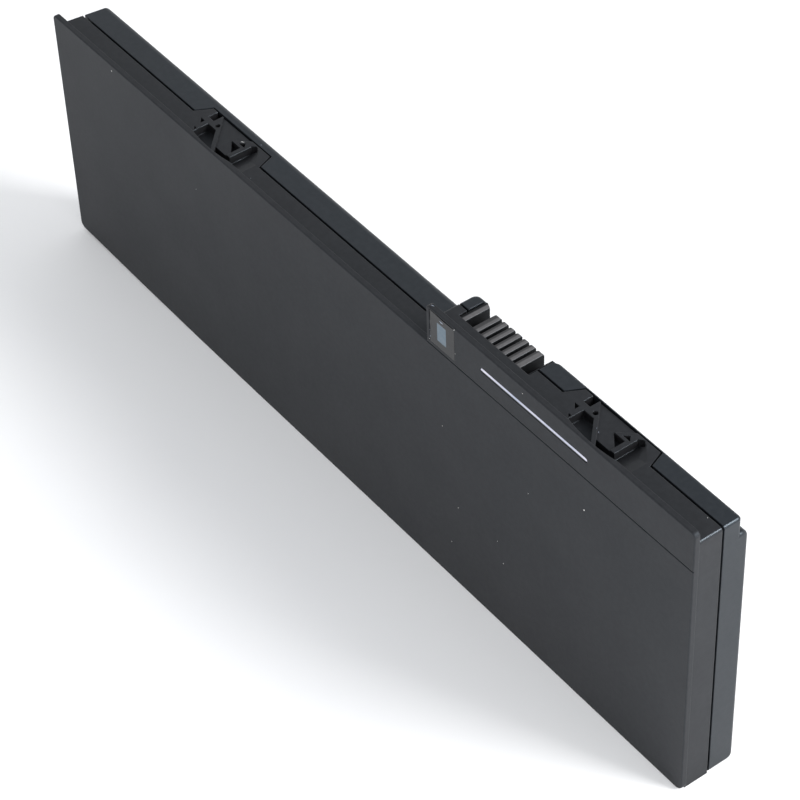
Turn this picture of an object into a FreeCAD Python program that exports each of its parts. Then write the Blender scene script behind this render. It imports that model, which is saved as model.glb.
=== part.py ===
import FreeCAD, Part
import os
import re
import Sketcher

# Flat laptop battery pack, standing on its long lower edge.
# Places are given from the pack's lower front left corner: X runs along the pack,
# Y from the flat cover into the pack and Z up. Each finished piece is then moved,
# so that the frame's origin is the middle of the pack's footprint.

doc = FreeCAD.newDocument("laptop_battery")

SIZES = {
    # Casing
    "pack_length": 258.0,
    "body_depth": 16.4,
    "thin_depth": 14.1,
    "cover_height": 74.9,
    "strip_rise": 11.6,
    "cover_thick": 1.5,
    "left_lip": 3.8,
    "right_lip": 3.7,
    "thick_drop": 5.4,
    "raised_inset": 1.2,
    "thick_margin": 0.3,
    "end_inset": 0.1,
    "end_lean": 2.0,
    "right_step": 0.5,
    "seam_middle": 8.7,
    "seam_gap": 0.6,
    "wall": 1.2,
    "end_wall": 1.5,
    "back_round": 1.8,
    "shoulder_round": 2.0,
    "end_round": 1.0,
    "top_round": 0.9,
    "edge_round": 0.35,
    "corner_round": 1.3,
    "foot_round": 2.0,
    # Lower edge of the cover, which rises a little towards its left end
    "foot_rise": 1.35,
    "foot_turn": 30.0,
    "foot_turn_rise": 0.5,
    "foot_run": 60.0,
    "block_round": 1.8,
    # Tongue of the back shell, inside the front shell's wall
    "tongue_thick": 0.8,
    "tongue_reach": 1.2,
    "tongue_fit": 0.15,
    # Groove that carries the cover's upper line across the raised strip
    "line_width": 0.4,
    "line_depth": 0.25,
    # Latch blocks, counted back from the pack's right end; their details are
    # measured from each block's left end
    "latch_inset": 24.6,
    "latch_pitch": 150.4,
    "latch_width": 29.9,
    "latch_back_wall": 1.05,
    "latch_fit": 0.4,
    "latch_depth": 8.6,
    "latch_lean_left": 2.5,
    "latch_lean_right": 1.7,
    "left_latch_trim": 0.7,
    "recess_depth": 2.4,
    "trough_start": 7.3,
    "trough_turn": 10.8,
    "trough_back": 8.5,
    "bar_width": 1.5,
    "plate_front": 4.9,
    "plate_end": 22.1,
    "plate_drop": 0.45,
    "plate_turn": 20.5,
    "pocket_depth": 2.2,
    "pocket_tip": 16.9,
    "pocket_end": 20.7,
    "pocket_middle": 9.2,
    "pocket_front": 6.2,
    "small_pocket_start": 18.8,
    "small_pocket_length": 2.6,
    "small_pocket_front": 10.0,
    "small_pocket_rise": 1.35,
    "window_start": 5.1,
    "window_width": 2.3,
    "window_front": 10.2,
    "window_depth": 3.4,
    "pin_hole_across": 9.7,
    "pin_hole_back": 9.85,
    "pin_hole_radius": 0.7,
    "ramp_turn": 26.3,
    "ramp_turn_depth": 0.7,
    "ramp_end": 28.9,
    "ramp_back": 8.5,
    "corner_turn": 23.4,
    "corner_turn_depth": 0.9,
    "corner_end": 24.5,
    "corner_back": 12.2,
    "corner_mouth": 0.4,
    "corner_bevel": 1.0,
    "nick_start": 4.1,
    "nick_length": 1.7,
    "nick_rise": 1.4,
    "low_nick_start": 5.9,
    "low_nick_back": 5.2,
    "low_nick_length": 1.0,
    "low_nick_rise": 0.9,
    "nick_depth": 1.1,
    "scoop_chord": 17.0,
    "scoop_rise": 0.8,
    "scoop_middle": 19.0,
    # Connector comb, which ends a little before the right latch block
    "comb_latch_gap": 9.25,
    "comb_inset": 4.8,
    "comb_left_wall": 2.4,
    "comb_right_wall": 0.45,
    "comb_front": 5.65,
    "comb_back_gap": 0.9,
    "comb_height": 10.3,
    "comb_fit": 0.15,
    "comb_shelf": 0.65,
    "comb_bevel": 1.4,
    "comb_heel": 0.6,
    "comb_heel_width": 0.9,
    "comb_heel_round": 0.8,
    "slot_depth": 7.0,
    "slot_front": 6.0,
    "wide_slot": 2.6,
    "narrow_slot": 0.8,
    "wide_pitch": 3.85,
    "narrow_pitch": 2.5,
    "rib_round": 0.3,
    "rib_end_round": 0.8,
    # Contacts
    "contact_metal": 0.15,
    "contact_front": 7.4,
    "contact_back": 11.6,
    "contact_height": 3.2,
    "contact_fit": 0.05,
    "tail_width": 0.5,
    "tail_fit": 0.05,
    "tail_drop": 0.9,
    "tail_metal": 0.3,
    # Indicator film, the patch on it and the pale mark, from the raised strip's
    # left end and upper edge
    "film_inset": 1.2,
    "film_width": 9.5,
    "film_drop": 0.45,
    "film_height": 10.1,
    "film_thick": 0.2,
    "film_fit": 0.06,
    "film_gap": 0.25,
    "patch_inset": 4.2,
    "patch_width": 3.3,
    "patch_drop": 2.9,
    "patch_height": 5.5,
    "mark_inset": 20.4,
    "mark_length": 38.1,
    "mark_drop": 5.8,
    "mark_width": 1.4,
    "mark_thick": 0.3,
    "mark_fit": 0.05,
    "mark_gap": 0.2,
    # Cells and their padding
    "middle_gap": 12.8,
    "cell_thick": 4.6,
    "cell_round": 1.0,
    "cell_gap": 1.0,
    "seal_length": 3.5,
    "seal_thick": 0.6,
    "tab_length": 2.0,
    "tab_width": 8.0,
    "tab_thick": 0.2,
    "tab_low": 10.0,
    "tab_high": 40.0,
    "front_pad": 1.2,
    "separator": 1.0,
    "pad_margin": 4.0,
    # Straps
    "strap_thick": 0.3,
    "strap_width": 2.8,
    "strap_gap": 1.4,
    "strap_space": 0.6,
    "strap_roof": 1.5,
    "strap_lap": 6.0,
    "strap_riser": 3.0,
    "tab_cover": 0.8,
    "sense_thick": 0.2,
    "sense_width": 1.5,
    "sense_end": 1.5,
    "cutoff_offset": 8.9,
    "cutoff_length": 6.0,
    "cutoff_thick": 1.1,
    # Board
    "board_gap": 0.9,
    "board_thick": 1.0,
    "board_roof": 0.5,
    "board_tab_margin": 3.6,
    "board_top_gap": 0.8,
    "board_end_gap": 1.0,
    "post_radius": 1.7,
    "pin_radius": 0.7,
    "pin_fit": 0.1,
    "pin_reach": 1.6,
    "post_margin": 2.2,
    "sheet_thick": 0.3,
    "bead_width": 1.0,
    "bead_length": 3.0,
    "bead_offset": 22.6,
    # Parts on the board, each with its place from the board's left or right end,
    # its rise from the board's lower edge, its length, its height and how far it
    # stands off
    "gauge_offset": 37.9,
    "gauge_rise": 2.2,
    "gauge_side": 6.0,
    "gauge_thick": 1.0,
    "guard_offset": 46.9,
    "guard_rise": 2.7,
    "guard_side": 5.0,
    "guard_thick": 0.9,
    "switch_offset": 32.8,
    "switch_pitch": 7.0,
    "switch_rise": 2.0,
    "switch_length": 5.0,
    "switch_width": 6.0,
    "switch_thick": 1.1,
    "shunt_offset": 18.3,
    "shunt_rise": 3.2,
    "shunt_length": 6.4,
    "shunt_width": 3.2,
    "shunt_thick": 0.6,
    "fuse_offset": 9.8,
    "fuse_rise": 3.0,
    "fuse_length": 4.0,
    "fuse_width": 3.0,
    "fuse_thick": 1.2,
    "capacitor_offset": 9.9,
    "capacitor_pitch": 4.5,
    "capacitor_rise": 3.0,
    "capacitor_length": 2.0,
    "capacitor_width": 1.2,
    "capacitor_thick": 1.2,
}

sheet = doc.addObject("Spreadsheet::Sheet", "Sizes")
for row, (alias, value) in enumerate(SIZES.items(), start=1):
    sheet.set(f"A{row}", alias)
    sheet.set(f"B{row}", str(value))
    sheet.setAlias(f"B{row}", alias)
doc.recompute()

PIECES = []
NARROW_SLOTS = 6
CAPACITORS = 4
SWITCHES = 2
SKETCH_AXES = (-2, -1)
TOUCH = 1e-3


def bound(text):
    """Turn a sum of size names into an expression on the sheet's cells."""
    return re.sub(r"[a-z]\w*", r"Sizes.\g<0>", text)


def worth(text):
    """Work out what such a sum comes to."""
    return float(sheet.evalExpression(bound(text)))


def place(piece, along="0", back="0", up="0"):
    """Bind a finished piece's place, counted from the middle of the footprint."""
    piece.setExpression("Placement.Base.x", bound(f"({along}) - pack_length / 2"))
    piece.setExpression("Placement.Base.y", bound(f"({back}) - body_depth / 2"))
    piece.setExpression("Placement.Base.z", bound(up))


def new_body(name):
    """Start a piece that is built from sketches."""
    body = doc.addObject("PartDesign::Body", name)
    body.Label = name
    place(body)
    PIECES.append(body)
    return body


def new_box(name, size, corner):
    """Make a plain rectangular piece from bound sizes and a bound corner."""
    piece = doc.addObject("Part::Box", name)
    piece.Label = name
    for side, text in zip(("Length", "Width", "Height"), size):
        piece.setExpression(side, bound(text))
    place(piece, *corner)
    PIECES.append(piece)
    return piece


def new_sketch(body, role, level):
    """Attach a sketch to one of the body's own planes, at a bound level along X, Y or Z."""
    sketch = body.newObject("Sketcher::SketchObject", f"{body.Name}_outline")
    plane = next(item for item in body.Origin.OriginFeatures if item.Role == role)
    sketch.AttachmentSupport = [(plane, "")]
    sketch.MapMode = "FlatFace"
    sign = "-" if role == "XZ_Plane" else ""
    sketch.setExpression("AttachmentOffset.Base.z", bound(f"{sign}({level})"))
    return sketch


def pin_point(sketch, item, point, across, up):
    """Hold a point of the sketch at bound distances from its origin."""
    for kind, text, axis in zip(("DistanceX", "DistanceY"), (across, up), SKETCH_AXES):
        if text == "0":
            sketch.addConstraint(Sketcher.Constraint("PointOnObject", item, point, axis))
            continue
        rule = sketch.addConstraint(Sketcher.Constraint(kind, -1, 1, item, point, worth(text)))
        sketch.setExpression(f"Constraints[{rule}]", bound(text))


def add_polygon(sketch, corners):
    """Draw a closed outline whose corners are bound to the sheet."""
    points = [FreeCAD.Vector(worth(across), worth(up), 0) for across, up in corners]
    first = sketch.GeometryCount
    for start, end in zip(points, points[1:] + points[:1]):
        sketch.addGeometry(Part.LineSegment(start, end), False)
    for step in range(len(points)):
        following = first + (step + 1) % len(points)
        sketch.addConstraint(Sketcher.Constraint("Coincident", first + step, 2, following, 1))
    for step, (across, up) in enumerate(corners):
        pin_point(sketch, first + step, 1, across, up)


def add_rectangle(sketch, left, low, right, high):
    """Draw a bound rectangle."""
    add_polygon(sketch, [(left, low), (right, low), (right, high), (left, high)])


def add_circle(sketch, across, up, radius):
    """Draw a circle with a bound centre and radius."""
    centre = FreeCAD.Vector(worth(across), worth(up), 0)
    item = sketch.addGeometry(Part.Circle(centre, FreeCAD.Vector(0, 0, 1), worth(radius)), False)
    pin_point(sketch, item, 3, across, up)
    rule = sketch.addConstraint(Sketcher.Constraint("Radius", item, worth(radius)))
    sketch.setExpression(f"Constraints[{rule}]", bound(radius))


def volume_of(body):
    """Give the body's volume, or nothing when it has no solid yet."""
    return body.Shape.Volume if body.Tip and not body.Shape.isNull() else 0.0


def add_material(body, sketch, length, forward=True):
    """Pad a sketch by a bound length, forward along X, Y or Z, and check that it adds something."""
    before = volume_of(body)
    pad = body.newObject("PartDesign::Pad", f"{body.Name}_pad")
    pad.Profile = sketch
    pad.setExpression("Length", bound(length))
    against_normal = sketch.AttachmentSupport[0][0].Role == "XZ_Plane"
    pad.Reversed = against_normal == forward
    doc.recompute()
    assert volume_of(body) > before + TOUCH, f"{pad.Name} adds nothing"
    return pad


def cut_material(body, sketch, length, forward=True):
    """Pocket a sketch by a bound length, forward along X, Y or Z, and check that it cuts something."""
    before = volume_of(body)
    pocket = body.newObject("PartDesign::Pocket", f"{body.Name}_pocket")
    pocket.Profile = sketch
    pocket.setExpression("Length", bound(length))
    against_normal = sketch.AttachmentSupport[0][0].Role == "XZ_Plane"
    pocket.Reversed = against_normal != forward
    doc.recompute()
    assert volume_of(body) < before - TOUCH, f"{pocket.Name} cuts nothing"
    return pocket


def near(value, text):
    """Tell whether a length matches a bound one."""
    return abs(value - worth(text)) < TOUCH * 10


def round_edges(body, radius, wanted):
    """Fillet the body's edges that a test on their two ends picks out."""
    base = body.Tip
    names = []
    for number, edge in enumerate(base.Shape.Edges, start=1):
        ends = [vertex.Point for vertex in edge.Vertexes]
        if len(ends) == 2 and wanted(ends[0], ends[1]):
            names.append(f"Edge{number}")
    assert names, f"{body.Name} has no edge to round"
    fillet = body.newObject("PartDesign::Fillet", f"{body.Name}_round")
    fillet.Base = (base, names)
    fillet.setExpression("Radius", bound(radius))
    doc.recompute()
    assert fillet.isValid(), f"{fillet.Name} with {radius} fails"
    return fillet


SEAM_FRONT = "seam_middle - seam_gap / 2"
SEAM_BACK = "seam_middle + seam_gap / 2"
STRIP_TOP = "cover_height + strip_rise"
LEFT_TOP = "cover_height - left_lip"
RIGHT_TOP = f"{STRIP_TOP} - right_lip"
THICK_TOP = f"{RIGHT_TOP} - thick_drop"
BODY_LEFT = "end_inset"
BODY_RIGHT = "pack_length - right_step"
INNER_LEFT = "end_inset + end_lean + end_wall"
INNER_RIGHT = f"{BODY_RIGHT} - end_wall"
RIGHT_LATCH = "pack_length - latch_inset - latch_width"
LEFT_LATCH = f"{RIGHT_LATCH} - latch_pitch"
LATCH_BACK = "thin_depth - latch_back_wall"
BAR_LEFT = "trough_turn + trough_back"
BAR_RIGHT = f"{BAR_LEFT} + bar_width"
COMB_WIDTH = (f"comb_left_wall + wide_slot + wide_pitch * 2 + narrow_pitch * {NARROW_SLOTS - 1}"
              " + comb_right_wall")
COMB_END = f"{RIGHT_LATCH} - comb_latch_gap"
COMB_START = f"{COMB_END} - ({COMB_WIDTH})"
COMB_BACK = "thin_depth - comb_back_gap"
SLOT_FLOOR = f"{RIGHT_TOP} - slot_depth"
COMB_LOW = f"{RIGHT_TOP} - comb_height"
STRIP_START = f"{COMB_START} - comb_inset"
RAISED_START = f"{STRIP_START} + raised_inset"
THICK_START = f"{COMB_END} + comb_fit + comb_shelf + comb_bevel + thick_margin"
FILM_START = f"{STRIP_START} + film_inset"
FILM_HIGH = f"{STRIP_TOP} - film_drop"
PATCH_START = f"{STRIP_START} + patch_inset"
PATCH_HIGH = f"{STRIP_TOP} - patch_drop"
TONGUE_FRONT = f"{SEAM_FRONT} - tongue_reach"
CELL_LOW = "wall + cell_gap"
CELL_TOP = f"{LEFT_TOP} - wall - strap_roof - strap_width * 2 - strap_space - strap_gap"
CELL_LENGTH = (f"(({INNER_RIGHT} - ({INNER_LEFT}) - middle_gap) / 2"
               " - cell_gap - seal_length - tab_length)")
FRONT_LAYER = "cover_thick + front_pad"
BACK_LAYER = f"{FRONT_LAYER} + cell_thick + separator"
LEFT_CELLS = f"{INNER_LEFT} + cell_gap"
RIGHT_CELLS = f"{INNER_RIGHT} - cell_gap - {CELL_LENGTH}"
LEFT_TAB_END = f"{LEFT_CELLS} + {CELL_LENGTH} + seal_length + tab_length"
RIGHT_TAB_END = f"{RIGHT_CELLS} - seal_length - tab_length"
BOARD_FACE = "comb_front"
BOARD_FRONT = "comb_front - board_thick"
BOARD_START = f"{RAISED_START} + wall + board_gap"
BOARD_END = f"{INNER_RIGHT} - board_end_gap"
BOARD_LOW = f"{CELL_TOP} + sheet_thick + bead_width"
BOARD_HIGH = f"{RIGHT_TOP} - latch_depth - board_roof"
BOARD_TAB_END = f"{COMB_END} + board_tab_margin"
STRAP_FRONT = f"{BOARD_FRONT} - sense_thick - strap_thick"
STRAP_BACK = f"{BACK_LAYER} + cell_thick / 2 + tab_cover"
CHANNEL_LOW = f"{CELL_TOP} + strap_gap"
CHANNEL_HIGH = f"{CHANNEL_LOW} + strap_width + strap_space"


def outline(left, right, low, left_high, right_high, step):
    """Give the stepped outline that the casing and its hollow share."""
    return [
        (left, low), (right, low), (right, right_high),
        (step, right_high), (step, left_high), (left, left_high),
    ]


def hollow_outline(shrink):
    """Give the casing's inner outline, drawn in by a further bound length."""
    return outline(
        f"{INNER_LEFT} + {shrink}",
        f"{INNER_RIGHT} - ({shrink})",
        f"wall + {shrink}",
        f"{LEFT_TOP} - wall - ({shrink})",
        f"{RIGHT_TOP} - wall - ({shrink})",
        f"{RAISED_START} + wall + {shrink}",
    )


def latch_outline(start, trim, grow, front):
    """Give a latch block's plan, trimmed at its left and grown by a clearance on its buried sides."""
    return [
        (f"{start} + {trim} - ({grow})", front),
        (f"{start} + {trim} - ({grow})", "seam_middle"),
        (f"{start} + {trim} + latch_lean_left - ({grow})", f"{LATCH_BACK} + {grow}"),
        (f"{start} + latch_width - latch_lean_right + {grow}", f"{LATCH_BACK} + {grow}"),
        (f"{start} + latch_width + {grow}", "seam_middle"),
        (f"{start} + latch_width + {grow}", front),
    ]


def lean_left_end(body, front, back):
    """Cut the casing's left end to its slant, which leaves the cover overhanging."""
    sketch = new_sketch(body, "XY_Plane", RIGHT_TOP)
    slant = "end_lean / (body_depth - cover_thick)"
    add_polygon(sketch, [
        ("0", front),
        (f"end_inset + ({front} - cover_thick) * {slant}", front),
        (f"end_inset + ({back} - cover_thick) * {slant}", back),
        ("0", back),
    ])
    cut_material(body, sketch, RIGHT_TOP, forward=False)


def cut_plan(body, top, depth, corners):
    """Cut a pocket straight down from a level, from a plan outline."""
    sketch = new_sketch(body, "XY_Plane", top)
    add_polygon(sketch, corners)
    cut_material(body, sketch, depth, forward=False)


def plan_rectangle(left, front, right, back):
    """Give the corners of a rectangle seen from above."""
    return [(left, front), (right, front), (right, back), (left, back)]


def cut_between(body, first, second):
    """Cut away what lies between two outlines on parallel planes, and check that it cuts something."""
    before = volume_of(body)
    loft = body.newObject("PartDesign::SubtractiveLoft", f"{body.Name}_loft")
    loft.Profile = first
    loft.Sections = [second]
    loft.Ruled = True
    doc.recompute()
    assert loft.isValid() and volume_of(body) < before - TOUCH, f"{loft.Name} fails"


def ramp_profile(start, top, turn, turn_depth, end):
    """Give the section of a ramp that rises from the hook plate's foot to the top surface."""
    return [
        (f"{start} + plate_end", top),
        (f"{start} + plate_end", f"{top} - recess_depth"),
        (f"{start} + {turn}", f"{top} - {turn_depth}"),
        (f"{start} + {end}", top),
    ]


def add_latch(body, start, trim, top, lip):
    """Build one latch block with its trough, hook plate, pockets and ramp."""
    sketch = new_sketch(body, "XY_Plane", top)
    add_polygon(sketch, latch_outline(start, trim, "0", "cover_thick"))
    add_material(body, sketch, "latch_depth", forward=False)
    plate_end = f"{start} + plate_end"

    # Trough behind the lip, with the slanting bar as its back wall
    cut_plan(body, top, "recess_depth", [
        (f"{start} + trough_start", "cover_thick"),
        (f"{start} + {BAR_LEFT} - cover_thick", "cover_thick"),
        (f"{start} + trough_turn", "trough_back"),
        (f"{start} + trough_start", "trough_back"),
    ])
    # Gap between the lip and the hook plate, as deep as the trough
    cut_plan(body, top, "recess_depth", [
        (f"{start} + {BAR_RIGHT} - cover_thick", "cover_thick"),
        (plate_end, "cover_thick"),
        (plate_end, "plate_front"),
        (f"{start} + {BAR_RIGHT} - plate_front", "plate_front"),
    ])
    # Ramp beside the hook plate, which narrows towards the back
    profile = ramp_profile(start, top, "ramp_turn", "ramp_turn_depth", "ramp_end")
    corner = ramp_profile(start, top, "corner_turn", "corner_turn_depth", "corner_end")
    sketch = new_sketch(body, "XZ_Plane", "cover_thick")
    add_polygon(sketch, profile)
    cut_material(body, sketch, "ramp_back - cover_thick")
    first = new_sketch(body, "XZ_Plane", "ramp_back")
    add_polygon(first, profile)
    second = new_sketch(body, "XZ_Plane", "corner_back")
    add_polygon(second, corner)
    cut_between(body, first, second)
    corner_front = "corner_back - corner_bevel / 2"
    corner_rim = "corner_back + corner_bevel / 2"
    cut_plan(body, top, "recess_depth", [
        (f"{plate_end} - corner_mouth", corner_front),
        (f"{start} + corner_end", corner_front),
        (f"{start} + corner_end - corner_bevel", corner_rim),
        (f"{plate_end} - corner_mouth + corner_bevel", corner_rim),
    ])

    # Hook plate, a little lower than the bar and than the rim round its pockets
    cut_plan(body, top, "plate_drop", [
        (f"{start} + {BAR_RIGHT} - ({LATCH_BACK})", LATCH_BACK),
        (f"{start} + {BAR_RIGHT} - plate_front", "plate_front"),
        (f"{start} + pocket_end", "plate_front"),
        (f"{start} + pocket_end", "pocket_front"),
        (f"{start} + pocket_tip", "pocket_middle"),
        (f"{start} + plate_turn", LATCH_BACK),
    ])
    # Two three-sided pockets in the hook plate
    cut_plan(body, top, "pocket_depth", [
        (f"{start} + pocket_tip", "pocket_middle"),
        (f"{start} + pocket_end", "pocket_front"),
        (f"{start} + pocket_end", "pocket_middle"),
    ])
    small = f"{start} + small_pocket_start"
    cut_plan(body, top, "pocket_depth", [
        (small, "small_pocket_front"),
        (f"{small} + small_pocket_length", "small_pocket_front"),
        (f"{small} + small_pocket_length / 2", "small_pocket_front + small_pocket_rise"),
    ])
    # Small window, pin hole and nicks beside the trough
    cut_plan(body, top, "window_depth", plan_rectangle(
        f"{start} + window_start", "window_front", f"{start} + window_start + window_width", LATCH_BACK))
    for left, back, length, rise in (
            ("nick_start", "trough_back", "nick_length", "nick_rise"),
            ("low_nick_start", "low_nick_back", "low_nick_length", "low_nick_rise")):
        cut_plan(body, top, "nick_depth", [
            (f"{start} + {left}", back),
            (f"{start} + {left} + {length}", f"{back} - {rise}"),
            (f"{start} + {left} + {length}", back),
        ])
    sketch = new_sketch(body, "XY_Plane", top)
    add_circle(sketch, f"{start} + pin_hole_across", "pin_hole_back", "pin_hole_radius")
    cut_material(body, sketch, "window_depth", forward=False)

    # Shallow scoop in the back of the lip, as wide as the trough
    scoop = body.newObject("PartDesign::SubtractiveCylinder", f"{body.Name}_scoop")
    reach = "(scoop_chord * scoop_chord / 4 + scoop_rise * scoop_rise) / (2 * scoop_rise)"
    scoop.setExpression("Radius", bound(reach))
    scoop.setExpression("Height", bound(f"{lip} - ({top})"))
    scoop.setExpression("Placement.Base.x", bound(f"{start} + scoop_middle"))
    scoop.setExpression("Placement.Base.y", bound(f"cover_thick - scoop_rise + {reach}"))
    scoop.setExpression("Placement.Base.z", bound(top))
    doc.recompute()


POST_LEVEL = f"{BOARD_HIGH} - post_margin"
POSTS = [
    (f"{BOARD_START} + post_radius * 2", POST_LEVEL),
    (f"{BOARD_TAB_END} + post_radius * 2", POST_LEVEL),
    (f"{BOARD_END} - post_radius * 2", POST_LEVEL),
]


def build_front_shell():
    """Build the cover, its walls, the latch blocks and the posts for the board."""
    body = new_body("front_shell")
    sketch = new_sketch(body, "XZ_Plane", "0")
    corners = outline("0", "pack_length", "0", "cover_height", STRIP_TOP, STRIP_START)
    corners[:1] = [("0", "foot_rise"), ("foot_turn", "foot_turn_rise"), ("foot_run", "0")]
    add_polygon(sketch, corners)
    add_material(body, sketch, "cover_thick")
    round_edges(body, "corner_round", lambda a, b: near(abs(a.y - b.y), "cover_thick") and (
        (near(a.x, "0") and near(a.z, "cover_height")) or near(a.z, STRIP_TOP)))
    round_edges(body, "foot_round", lambda a, b: near(abs(a.y - b.y), "cover_thick") and (
        (near(a.x, "0") and near(a.z, "foot_rise")) or (near(a.x, "pack_length") and near(a.z, "0"))))
    round_edges(body, "edge_round", lambda a, b: near(a.y, "0") and near(b.y, "0"))

    sketch = new_sketch(body, "XZ_Plane", "cover_thick")
    add_polygon(sketch, outline(BODY_LEFT, BODY_RIGHT, "0", LEFT_TOP, RIGHT_TOP, RAISED_START))
    add_polygon(sketch, hollow_outline("0"))
    add_material(body, sketch, f"{SEAM_FRONT} - cover_thick")
    lean_left_end(body, "cover_thick", SEAM_FRONT)
    round_edges(body, "top_round", lambda a, b: near(a.z, RIGHT_TOP) and near(b.z, RIGHT_TOP)
                and abs(a.x - b.x) < TOUCH)
    add_latch(body, LEFT_LATCH, "left_latch_trim", LEFT_TOP, "cover_height")
    add_latch(body, RIGHT_LATCH, "0", RIGHT_TOP, STRIP_TOP)

    # Groove across the raised strip
    sketch = new_sketch(body, "XZ_Plane", "0")
    add_rectangle(sketch, STRIP_START, "cover_height - line_width / 2",
                  "pack_length", "cover_height + line_width / 2")
    cut_material(body, sketch, "line_depth")
    # Seats of the indicator film and the pale mark
    sketch = new_sketch(body, "XZ_Plane", "0")
    add_rectangle(sketch, FILM_START, f"{FILM_HIGH} - film_height", f"{FILM_START} + film_width", FILM_HIGH)
    cut_material(body, sketch, "film_thick")
    sketch = new_sketch(body, "XZ_Plane", "0")
    add_mark(sketch, "mark_width / 2", f"{STRIP_TOP} - mark_drop")
    cut_material(body, sketch, "mark_thick")

    # Posts for the board with a locating pin on each
    sketch = new_sketch(body, "XZ_Plane", "cover_thick")
    for along, up in POSTS:
        add_circle(sketch, along, up, "post_radius")
    add_material(body, sketch, f"{BOARD_FRONT} - cover_thick")
    sketch = new_sketch(body, "XZ_Plane", BOARD_FRONT)
    for along, up in POSTS:
        add_circle(sketch, along, up, "pin_radius")
    add_material(body, sketch, "pin_reach")
    # The connector comb fills a gap in the upper wall, up to the front of its slots
    cut_plan(body, RIGHT_TOP, "comb_height", plan_rectangle(
        f"{COMB_START} - comb_fit", "slot_front", f"{COMB_END} + comb_fit", SEAM_FRONT))
    return body


def add_mark(sketch, half, level):
    """Draw the pale mark, a long bar with round ends of a bound radius, at a bound level."""
    left_end = f"{STRIP_START} + mark_inset + mark_width / 2"
    right_end = f"{STRIP_START} + mark_inset + mark_length - mark_width / 2"
    left = FreeCAD.Vector(worth(left_end), worth(level), 0)
    right = FreeCAD.Vector(worth(right_end), worth(level), 0)
    rise = FreeCAD.Vector(0, worth(half), 0)
    bulge = FreeCAD.Vector(worth(half), 0, 0)
    sketch.addGeometry(Part.Arc(left + rise, left - bulge, left - rise), False)
    sketch.addGeometry(Part.LineSegment(left - rise, right - rise), False)
    sketch.addGeometry(Part.Arc(right - rise, right + bulge, right + rise), False)
    sketch.addGeometry(Part.LineSegment(right + rise, left + rise), False)
    for arc, line, arc_end, line_end in ((0, 1, 2, 1), (2, 1, 1, 2), (2, 3, 2, 1), (0, 3, 1, 2)):
        sketch.addConstraint(Sketcher.Constraint("Tangent", arc, arc_end, line, line_end))
    pin_point(sketch, 0, 3, left_end, level)
    pin_point(sketch, 2, 3, right_end, level)
    rule = sketch.addConstraint(Sketcher.Constraint("Radius", 0, worth(half)))
    sketch.setExpression(f"Constraints[{rule}]", bound(half))


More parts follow.
